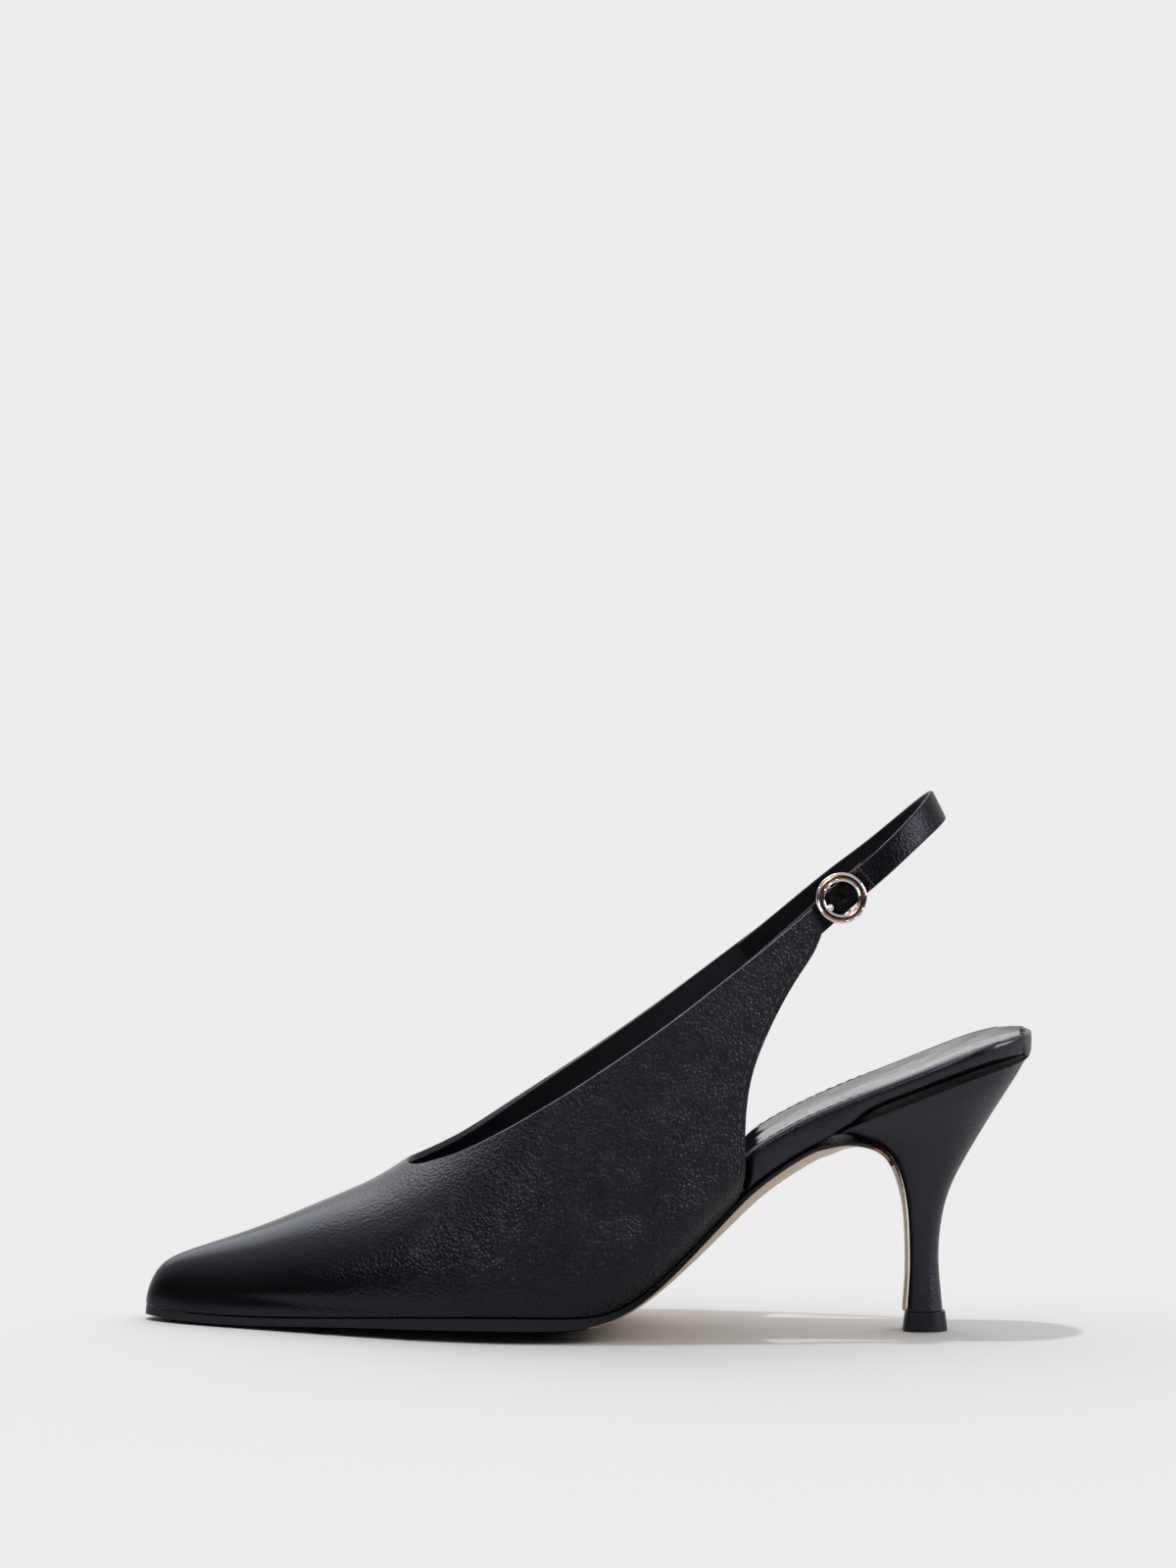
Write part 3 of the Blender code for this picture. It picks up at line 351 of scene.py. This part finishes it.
RUBBER = plain_surface("lift_rubber", (0.004, 0.004, 0.004), 0.5, 0.25 * MM, 0.02 * MM, tint=GLOSS_TINT)
THREAD = plain_surface("thread", (0.045, 0.045, 0.052), 0.40, 0.12 * MM, 0.03 * MM)
# Dark and matte: painted shade, for the ovals under the stitches and the line along the rim's stitches
PIT_SHADE = plain_surface("stitch_pit", (0.0015, 0.0015, 0.0015), 0.9, 0.3 * MM, 0.01 * MM)
SILVER = plain_surface(
    "polished_silver", (0.86, 0.85, 0.84), 0.09, 0.4 * MM, 0.003 * MM, contrast=0.04, metallic=1.0
)
# The ring's band: its warm tint stands for the metal's own colour, its darkness is a painted reflection
BAND_REFLECTION_METAL = plain_surface(
    "band_painted_reflection", (0.30, 0.15, 0.09), 0.22, 0.4 * MM, 0.004 * MM, contrast=0.2, metallic=1.0
)


def soften(mesh, start, floor):
    """Rounds the mesh off behind a place along X and above a height."""
    shape = bmesh.new()
    shape.from_mesh(mesh)
    inside = [vertex for vertex in shape.verts if vertex.co.x > start and vertex.co.z > floor]
    for _ in range(SOFT_PASSES):
        bmesh.ops.smooth_vert(
            shape, verts=inside, factor=0.5, use_axis_x=True, use_axis_y=True, use_axis_z=True
        )
    shape.to_mesh(mesh)
    shape.free()


def skin(name, source, materials, pick=None, edge=EDGE_ROUND, soft_from=None):
    """A smooth piece that stands for a CAD node: quads with rounded edges, subdivided.

    pick tells the number of a face's material from its middle and its normal.
    """
    shape = bmesh.new()
    shape.from_mesh(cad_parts[source].data)
    bmesh.ops.remove_doubles(shape, verts=shape.verts, dist=MERGE)
    bmesh.ops.join_triangles(
        shape, faces=shape.faces, angle_face_threshold=FLAT_ANGLE, angle_shape_threshold=QUAD_ANGLE
    )
    if edge:
        sharp = [one for one in shape.edges if one.is_manifold and one.calc_face_angle(0.0) > SHARP_ANGLE]
        bmesh.ops.bevel(
            shape, geom=sharp, offset=edge, segments=2, profile=0.5, affect="EDGES", clamp_overlap=True
        )
    for face in shape.faces:
        face.smooth = True
    mesh = bpy.data.meshes.new(name)
    shape.to_mesh(mesh)
    shape.free()
    for one in materials:
        mesh.materials.append(one)
    cage = add_object(name + "_cage", mesh)
    smooth = cage.modifiers.new("smooth", "SUBSURF")
    smooth.levels = smooth.render_levels = SUBDIVISIONS
    graph = bpy.context.evaluated_depsgraph_get()
    fine = bpy.data.meshes.new_from_object(cage.evaluated_get(graph))
    bpy.data.objects.remove(cage)
    fine.name = name
    if soft_from is not None:
        soften(fine, *soft_from)
    if pick:
        for face in fine.polygons:
            face.material_index = pick(face.center, face.normal)
    piece = add_object(name, fine)
    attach(piece, "root")
    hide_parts(source)
    return piece


def dent(piece, troughs):
    """Presses soft troughs into a piece.

    A trough is its side, its start and its end in X and Z, its half width and its depth.
    """
    for vertex in piece.data.vertices:
        place = vertex.co
        for side, x0, z0, x1, z1, half, depth in troughs:
            if place.y * side < 0:
                continue
            run = Vector((x1 - x0, z1 - z0))
            here = Vector((place.x - x0, place.z - z0))
            along = min(max(here.dot(run) / run.length_squared, 0.0), 1.0)
            away = (here - run * along).length / half
            if away < TROUGH_REACH:
                place.y -= side * depth * math.exp(-away * away) * (1 - abs(2 * along - 1) ** 3)
    piece.data.update()


def surface_of(piece):
    """A tree for finding points on a piece."""
    shape = bmesh.new()
    shape.from_mesh(piece.data)
    made = BVHTree.FromBMesh(shape)
    shape.free()
    return made


def seen_from_side(surface, x, side, z):
    """The place that a ray from one side of the shoe meets first, or None."""
    return surface.ray_cast(Vector((x, side * SIDE_PROBE, z)), Vector((0.0, -side, 0.0)))[0]


def evenly(points, pitch):
    """Points a pitch apart along a path, each with its direction."""
    half_step = 0.0004
    points = np.array([tuple(point) for point in points])
    along = np.concatenate([[0.0], np.cumsum(np.linalg.norm(np.diff(points, axis=0), axis=1))])
    count = max(int(along[-1] / pitch), 1)
    places = []
    for i in range(count):
        here = along[-1] * (i + 0.5) / count
        before, after = (
            Vector([np.interp(here + step, along, points[:, axis]) for axis in range(3)])
            for step in (-half_step, half_step)
        )
        places.append(((before + after) / 2, (after - before).normalized()))
    return places


def rows_on(surface, path):
    """A row of stitches along a path on a piece: for each its point, direction and normal."""
    rows = []
    for point, along in evenly(path, STITCH_PITCH):
        spot, normal = surface.find_nearest(point)[:2]
        rows.append((spot, along, normal))
    return rows


def stitch_row(name, rows, length, thread, width=STITCH_WIDTH, height=STITCH_HEIGHT):
    """One mesh of short thread loops, each sunk half way into the leather.

    A row is (point, direction, normal).
    """
    shape = bmesh.new()
    for point, direction, normal in rows:
        side = direction.cross(normal).normalized()
        up = side.cross(direction).normalized()
        turn = Matrix((direction, side, up)).transposed().to_4x4()
        size = Matrix.Diagonal((length / 2, width / 2, height / 2, 1.0))
        bmesh.ops.create_uvsphere(
            shape, u_segments=8, v_segments=6, radius=1.0, matrix=Matrix.Translation(point) @ turn @ size
        )
    for face in shape.faces:
        face.smooth = True
    mesh = bpy.data.meshes.new(name)
    shape.to_mesh(mesh)
    shape.free()
    mesh.materials.append(thread)
    piece = add_object(name, mesh)
    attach(piece, "root")
    return piece


def sewn(name, rows, length):
    """A row of stitches in the black leather, each on a flat dark matte oval: painted shade of the shallow
    pit that it lies in.
    """
    stitch_row(name + "_stitching", rows, length, THREAD)
    stitch_row(name + "_stitch_pits", rows, length + PIT_EXTRA, PIT_SHADE, PIT_WIDTH, PIT_HEIGHT)


def upper_part(middle, normal):
    """Outside leather, or the lining on the inside."""
    outward = Vector((0.0, middle.y - FOOT_MIDDLE, OUTWARD_LEAN * abs(middle.y) + OUTWARD_RISE))
    return 0 if normal.dot(outward) > 0 or middle.x < LINING_FRONT else 1


def sole_part(middle, normal):
    """Black edge, the line below it, or the beige underside."""
    steep = abs(normal.y) if middle.x > TOE_TURN_END else math.hypot(normal.x, normal.y)
    if middle.x < BLACK_RIM_END and steep > RIM_STEEP:
        return 0
    if middle.x > FLAP_START and middle.z < FLAP_TOP:
        return 1 if normal.x < FLAP_FORWARD and steep > FLAP_EDGE_STEEP else 2
    on_breast = middle.x > BREAST_START and normal.z > BREAST_DOWN
    if steep > EDGE_STEEP or normal.z > EDGE_UP or (on_breast and steep > BREAST_STEEP):
        return 0
    return 1 if steep > LINE_STEEP and middle.x > 0.0 else 2


def buckle_part(middle, normal):
    """The ring's flat band gets the darker copper metal, a painted reflection of its brown middle; the
    posts, the bar and the hook are polished silver.
    """
    away = middle - (BUCKLE_ORIGIN + BUCKLE_FACE * RING_RISE)
    rise = away.dot(BUCKLE_FACE)
    flat = (away - BUCKLE_FACE * rise).length
    near = abs(flat - RING_RADIUS) < RING_BAND * RING_BAND_REACH
    return 1 if near and abs(rise) < RING_BAND * RING_BAND_RISE else 0


def wheel(name, centre, face, radius, wire, material):
    """A thin round bead on the buckle's ring."""
    bpy.ops.mesh.primitive_torus_add(
        major_radius=radius, minor_radius=wire, major_segments=96, minor_segments=12
    )
    piece = bpy.context.active_object
    piece.name = name
    turn = face.to_track_quat("Z", "Y").to_matrix().to_4x4()
    piece.data.transform(Matrix.Translation(centre) @ turn)
    piece.data.shade_smooth()
    piece.data.materials.append(material)
    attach(piece, "root")
    return piece


def quarter_edge(surface, side):
    """The rear edge of a quarter: for each height, the rearmost place where the leather is met."""
    edge = []
    for level in QUARTER_LEVELS:
        x = QUARTER_REAR
        while x > QUARTER_FRONT:
            spot = seen_from_side(surface, x, side, level)
            if spot and spot.y * side > 0:
                break
            x -= QUARTER_STEP
        edge.append((x, level))
    return edge


def quarter_stitches(surface):
    """Stitches beside the rear edge of both quarters."""
    rows = []
    for side in (-1, 1):
        edge = quarter_edge(surface, side)
        path = []
        for i in range(1, len(edge) - 1):
            step = Vector((edge[i + 1][0] - edge[i - 1][0], edge[i + 1][1] - edge[i - 1][1])).normalized()
            x = edge[i][0] - step.y * QUARTER_INSET
            z = edge[i][1] + step.x * QUARTER_INSET
            spot = seen_from_side(surface, x, side, z)
            if spot:
                path.append(spot)
        rows += rows_on(surface, path)
    return rows


def rim_stitches(surface):
    """Stitches along the top of the insole's rim, round the open waist and seat."""
    path = []
    bends = [(x, -90.0) for x in np.linspace(RIM_START, SEAT_MIDDLE, 28)]
    bends += [(SEAT_MIDDLE, angle) for angle in np.linspace(-84, 84, 40)]
    bends += [(x, 90.0) for x in np.linspace(SEAT_MIDDLE, RIM_START, 28)]
    for x, angle in bends:
        way = Vector((math.cos(math.radians(angle)), math.sin(math.radians(angle)), 0.0))
        centre = Vector((x, 0.0, 0.0))
        above = Vector((x, 0.0, TOP_PROBE))
        reach = SEAT_REACH
        for _ in range(3):
            top = surface.ray_cast(above + way * (reach - REACH_STEP), DOWN)[0]
            if not top:
                reach -= REACH_STEP
                continue
            level = Vector((0.0, 0.0, top.z - RIM_BELOW))
            outside = surface.ray_cast(centre + way * RIM_PROBE + level, -way)[0]
            if outside:
                reach = (outside - centre).xy.length
        spot = surface.ray_cast(above + way * (reach - RIM_INSET), DOWN)[0]
        if spot and (not path or (spot - path[-1]).length < LARGEST_SKIP):
            path.append(spot)
    return rows_on(surface, path)


def bead(name, path, radius, material):
    """A thin round line along a path."""
    line = bpy.data.curves.new(name, "CURVE")
    line.dimensions = "3D"
    line.bevel_depth = radius
    line.bevel_resolution = 2
    run = line.splines.new("POLY")
    run.points.add(len(path) - 1)
    for point, place in zip(run.points, path):
        point.co = (*place, 1.0)
    rough = add_object(name + "_line", line)
    graph = bpy.context.evaluated_depsgraph_get()
    mesh = bpy.data.meshes.new_from_object(rough.evaluated_get(graph))
    bpy.data.objects.remove(rough)
    mesh.materials.clear()
    mesh.materials.append(material)
    mesh.shade_smooth()
    piece = add_object(name, mesh)
    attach(piece, "root")
    return piece


def top_edge(piece, run, side, floor):
    """The upper edge of a wall on one side: for each X, the highest place where its outer face is met."""
    surface = surface_of(piece)
    path = []
    for x in run:
        z = ABOVE_ALL
        while z > floor:
            met = seen_from_side(surface, x, side, z)
            if met and met.y * side > 0:
                break
            z -= TOP_STEP
        if z > floor:
            spot = surface.find_nearest(Vector((x, met.y, z)))[0]
            path.append(spot + DOWN * EDGE_SINK)
    return path


def settle(path, passes=6):
    """The path with its small steps evened out."""
    for _ in range(passes):
        inner = [(a + 2 * b + c) / 4 for a, b, c in zip(path, path[1:], path[2:])]
        path = [path[0]] + inner + [path[-1]]
    return path


def fold_stitches(surface):
    """The two rows across the strap behind the ring that close the fold round the bar."""
    across = BUCKLE_RUN.cross(BUCKLE_FACE).normalized()
    rows = []
    for back in FOLD_ROWS:
        for i in range(-3, 4):
            start = BUCKLE_ORIGIN + BUCKLE_RUN * back + across * i * FOLD_PITCH + BUCKLE_FACE * FOLD_PROBE
            spot, normal = surface.ray_cast(start, -BUCKLE_FACE)[:2]
            if spot:
                rows.append((spot, across, normal))
    return rows


def build_shoe():
    """Every skin over the CAD, then the ring's beads, the painted highlight beads on the cut edges, and
    the stitches.
    """
    upper = skin("upper_leather", "upper", [NAPPA, LINING], upper_part)
    dent(upper, TROUGHS)
    skin("outsole_leather", "outsole", [SOLE_EDGE, SOLE_LINE, SOLE_LEATHER], sole_part)
    skin("heel_cover", "heel", [HEEL_LEATHER])
    skin("top_lift_rubber", "top_lift", [RUBBER])
    insole = skin("insole_rand", "insole", [RAND_LEATHER], edge=0.0, soft_from=SEAT_END)
    skin("sock_lining", "sock", [SOCK_LEATHER])
    strap = skin("slingback_leather", "slingback_strap", [STRAP_NAPPA])
    skin("front_strap_leather", "front_strap", [STRAP_NAPPA])
    skin("buckle_metal", "buckle", [SILVER, BAND_REFLECTION_METAL], buckle_part, edge=BUCKLE_ROUND)
    top = BUCKLE_ORIGIN + BUCKLE_FACE * (RING_RISE + RING_BEAD_RISE)
    wheel("buckle_outer_bead", top, BUCKLE_FACE, RING_RADIUS + RING_BEAD_INSET, RING_BEAD_WIRE, SILVER)
    wheel("buckle_inner_bead", top, BUCKLE_FACE, RING_RADIUS - RING_BEAD_INSET, RING_BEAD_WIRE, SILVER)
    # The light beads along the topline and the strap's edge are a painted highlight
    line = settle(top_edge(upper, TOPLINE_RUN, -1, TOPLINE_FLOOR))
    bead("topline_highlight", line, TOPLINE_RADIUS, EDGE_HIGHLIGHT)
    line = settle(top_edge(strap, STRAP_EDGE_RUN, -1, STRAP_EDGE_FLOOR))
    bead("strap_edge_highlight", line, STRAP_EDGE_RADIUS, EDGE_HIGHLIGHT)
    sewn("quarter", quarter_stitches(surface_of(upper)), QUARTER_STITCH)
    rim_rows = rim_stitches(surface_of(insole))
    sewn("rim", rim_rows, RIM_STITCH)
    # A dark matte line along the rim's stitches: painted shade of the groove that they lie in
    bead("rim_groove_shade", settle([row[0] for row in rim_rows], 2), RIM_GROOVE, PIT_SHADE)
    stitch_row("strap_stitching", fold_stitches(surface_of(strap)), FOLD_STITCH, THREAD)


def build_floor():
    """A wide matte floor that fills the picture."""
    mesh = bpy.data.meshes.new("floor")
    corners = [(x * FLOOR_REACH, y * FLOOR_REACH, 0) for x, y in ((-1, -1), (1, -1), (1, 1), (-1, 1))]
    mesh.from_pydata(corners, [], [(0, 1, 2, 3)])
    floor = add_object("floor", mesh)
    paper, _, shader = new_material("paper_floor")
    shader.inputs["Base Color"].default_value = FLOOR_WHITE
    shader.inputs["Roughness"].default_value = 1.0
    shader.inputs["Specular IOR Level"].default_value = 0.0
    mesh.materials.append(paper)


def aim(lamp, course):
    """Turns a lamp so that it shines along a course."""
    lamp.rotation_mode = "QUATERNION"
    lamp.rotation_quaternion = course.to_track_quat("-Z", "Y")


def add_panel(name, place, target, width, height, power, colour):
    """A soft box that only shows in the gloss of the leather and the metal."""
    lamp = bpy.data.lights.new(name, "AREA")
    lamp.shape = "RECTANGLE"
    lamp.size = width
    lamp.size_y = height
    lamp.energy = power
    lamp.color = colour
    panel = add_object(name, lamp)
    panel.location = place
    aim(panel, Vector(target) - Vector(place))
    panel.visible_diffuse = False
    panel.visible_camera = False


def build_light():
    """The room's light, one sun from above, and the soft boxes."""
    world = bpy.data.worlds.new("studio")
    bpy.context.scene.world = world
    world.use_nodes = True
    tree = world.node_tree
    background = tree.nodes["Background"]
    axes = node(tree, "ShaderNodeSeparateXYZ")
    tree.links.new(node(tree, "ShaderNodeTexCoord").outputs["Generated"], axes.inputs[0])
    backward = calculate(tree, "MULTIPLY", axes.outputs["Y"], ROOM_LEAN)
    sky = spread(tree, calculate(tree, "ADD", backward, axes.outputs["Z"]), *ROOM_EDGE, 0.0, 1.0)
    tree.links.new(colour_mix(tree, sky, ROOM_DARK, ROOM_BRIGHT), background.inputs["Color"])
    background.inputs["Strength"].default_value = ROOM_LIGHT
    lamp = bpy.data.lights.new("key", "SUN")
    lamp.energy = SUN_POWER
    lamp.angle = SUN_ANGLE
    aim(add_object("key", lamp), SUN_COURSE)
    for panel in PANELS:
        add_panel(*panel)


def build_camera():
    """A far camera at the photograph's angle, turned by the photograph's slight roll."""
    lens = bpy.data.cameras.new("camera")
    lens.lens = CAMERA_LENS
    lens.sensor_width = CAMERA_SENSOR
    lens.clip_end = CAMERA_CLIP
    camera = add_object("camera", lens)
    back = Vector((0.0, -math.cos(CAMERA_TILT), math.sin(CAMERA_TILT)))
    camera.location = CAMERA_TARGET + back * CAMERA_DISTANCE
    camera.rotation_mode = "QUATERNION"
    roll = Quaternion((0.0, 0.0, 1.0), CAMERA_ROLL)
    camera.rotation_quaternion = (-back).to_track_quat("-Z", "Y") @ roll
    bpy.context.scene.camera = camera


build_shoe()
build_floor()
build_light()
build_camera()
bpy.context.scene.view_settings.view_transform = "Standard"
